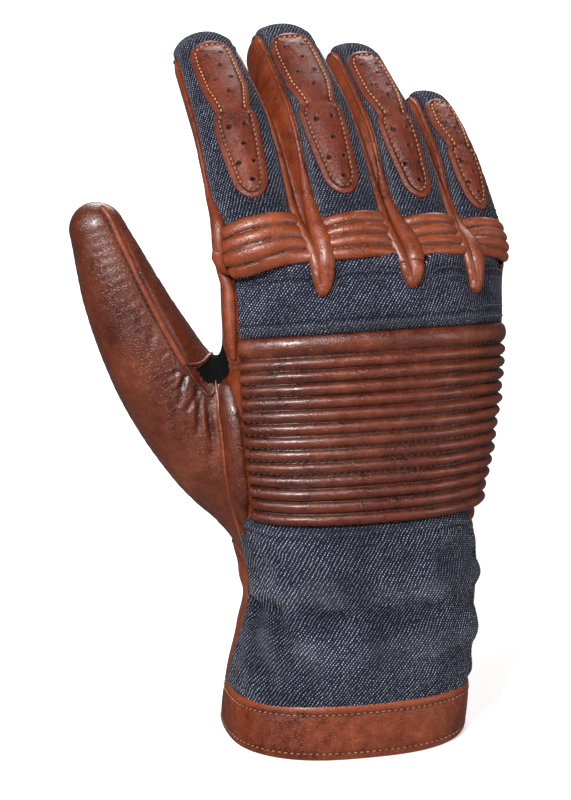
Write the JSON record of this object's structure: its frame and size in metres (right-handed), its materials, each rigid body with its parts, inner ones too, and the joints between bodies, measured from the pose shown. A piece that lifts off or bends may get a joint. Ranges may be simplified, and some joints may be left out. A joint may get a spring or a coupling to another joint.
{
  "type": "motorcycle riding glove",
  "caption": "Right-hand riding glove in leather and denim, pre-curved, with ribbed back pad, stretch knuckle panels, perforated finger patches and a short cuff.",
  "frame": {"origin": "centre of the bounding box on the plane of the cuff rim", "axes": "+Z from the cuff towards the fingers, -Y towards the back of the hand, +Y towards the palm, +X towards the little finger"},
  "size_m": [0.1396, 0.1083, 0.2145],
  "materials": {
    "glove_leather": "semi-gloss aniline cowhide, orange-brown, rubbed darker and lighter",
    "pad_leather": "semi-gloss dark brown leather",
    "navy_denim": "raw indigo twill with white weft flecks",
    "black_stretch_knit": "ribbed stretch knit",
    "hook_tape": "woven hook-and-loop tape",
    "lining_fabric": "brushed tricot lining",
    "thread": "bonded thread"
  },
  "bodies": {
    "cuff": {"cuff_band": "glove_leather", "cuff_denim_panel": "navy_denim", "cuff_palm_leather": "glove_leather", "cuff_lining": "lining_fabric", "wrist_elastic": "black_stretch_knit"},
    "hand": {"wrist_denim_panel": "navy_denim", "ribbed_back_pad": "pad_leather", "back_denim_strip": "navy_denim", "radial_side_strip": "glove_leather", "ulnar_ribbed_panel": "pad_leather", "ulnar_side_strip": "glove_leather", "palm_panel": "glove_leather", "palm_patch": "glove_leather", "thumb_root_panel": "glove_leather", "thumb_gusset": "black_stretch_knit", "index_side_panel": "glove_leather", "index_knuckle_band": "glove_leather", "middle_knuckle_band": "glove_leather", "ring_knuckle_band": "glove_leather", "little_knuckle_band": "glove_leather", "fourchette_index_middle": "glove_leather", "fourchette_middle_ring": "glove_leather", "fourchette_ring_little": "glove_leather"},
    "closure_strap": {"closure_strap": "glove_leather", "strap_hook_pad": "hook_tape"},
    "thumb_lower": {"thumb_back_lower": "glove_leather", "thumb_front_lower": "glove_leather"},
    "thumb_upper": {"thumb_back_upper": "glove_leather", "thumb_front_upper": "glove_leather"},
    "index_lower": {"index_back_lower": "navy_denim", "index_front_lower": "glove_leather", "index_patch_lower": "pad_leather", "index_ulnar_wall": "glove_leather"},
    "index_upper": {"index_back_upper": "navy_denim", "index_front_upper": "glove_leather", "index_patch_upper": "pad_leather"},
    "middle_lower": {"middle_back_lower": "navy_denim", "middle_front_lower": "glove_leather", "middle_patch_lower": "pad_leather", "middle_radial_wall": "glove_leather", "middle_ulnar_wall": "glove_leather"},
    "middle_upper": {"middle_back_upper": "navy_denim", "middle_front_upper": "glove_leather", "middle_patch_upper": "pad_leather"},
    "ring_lower": {"ring_back_lower": "navy_denim", "ring_front_lower": "glove_leather", "ring_patch_lower": "pad_leather", "ring_radial_wall": "glove_leather", "ring_ulnar_wall": "glove_leather"},
    "ring_upper": {"ring_back_upper": "navy_denim", "ring_front_upper": "glove_leather", "ring_patch_upper": "pad_leather"},
    "little_lower": {"little_back_lower": "navy_denim", "little_front_lower": "glove_leather", "little_patch_lower": "pad_leather", "little_radial_wall": "glove_leather"},
    "little_upper": {"little_back_upper": "navy_denim", "little_front_upper": "glove_leather", "little_patch_upper": "pad_leather"}
  },
  "joints": [
    {"name": "wrist_bend", "type": "hinge", "parent": "cuff", "child": "hand", "pos_m": [0.01207, -0.02211, 0.042], "axis": [-1, 0, 0], "range_deg": [-20, 20], "stiffness_Nm_per_rad": 1.5},
    {"name": "index_knuckle", "type": "hinge", "parent": "hand", "child": "index_lower", "pos_m": [-0.01233, -0.01111, 0.1546], "axis": [-1, 0, 0], "range_deg": [-15, 50], "stiffness_Nm_per_rad": 0.3},
    {"name": "index_middle_joint", "type": "hinge", "parent": "index_lower", "child": "index_upper", "pos_m": [-0.01453, 0.01696, 0.18577], "axis": [-1, 0, 0], "range_deg": [-10, 60], "stiffness_Nm_per_rad": 0.2},
    {"name": "middle_knuckle", "type": "hinge", "parent": "hand", "child": "middle_lower", "pos_m": [0.01437, -0.01461, 0.1544], "axis": [-1, 0, 0], "range_deg": [-15, 50], "stiffness_Nm_per_rad": 0.3},
    {"name": "middle_middle_joint", "type": "hinge", "parent": "middle_lower", "child": "middle_upper", "pos_m": [0.01092, 0.01474, 0.187], "axis": [-1, 0, 0], "range_deg": [-10, 60], "stiffness_Nm_per_rad": 0.2},
    {"name": "ring_knuckle", "type": "hinge", "parent": "hand", "child": "ring_lower", "pos_m": [0.03847, -0.00961, 0.1514], "axis": [-1, 0, 0], "range_deg": [-15, 50], "stiffness_Nm_per_rad": 0.3},
    {"name": "ring_middle_joint", "type": "hinge", "parent": "ring_lower", "child": "ring_upper", "pos_m": [0.03525, 0.01774, 0.18177], "axis": [-1, 0, 0], "range_deg": [-10, 60], "stiffness_Nm_per_rad": 0.2},
    {"name": "little_knuckle", "type": "hinge", "parent": "hand", "child": "little_lower", "pos_m": [0.05907, 0.00239, 0.1468], "axis": [-1, 0, 0], "range_deg": [-15, 50], "stiffness_Nm_per_rad": 0.3},
    {"name": "little_middle_joint", "type": "hinge", "parent": "little_lower", "child": "little_upper", "pos_m": [0.05907, 0.02313, 0.16984], "axis": [-1, 0, 0], "range_deg": [-10, 60], "stiffness_Nm_per_rad": 0.2},
    {"name": "thumb_base", "type": "hinge", "parent": "hand", "child": "thumb_lower", "pos_m": [-0.02393, -0.00411, 0.087], "axis": [-0.7936, 0.2955, -0.5319], "range_deg": [-12, 22], "stiffness_Nm_per_rad": 0.3},
    {"name": "thumb_joint", "type": "hinge", "parent": "thumb_lower", "child": "thumb_upper", "pos_m": [-0.05443, 0.00489, 0.1375], "axis": [-0.7843, 0.5197, -0.3386], "range_deg": [-8, 32], "stiffness_Nm_per_rad": 0.2},
    {"name": "closure_strap_peel", "type": "hinge", "parent": "cuff", "child": "closure_strap", "pos_m": [-0.00529, 0.00528, 0.0295], "axis": [0, 0, 1], "range_deg": [0, 60]}
  ]
}
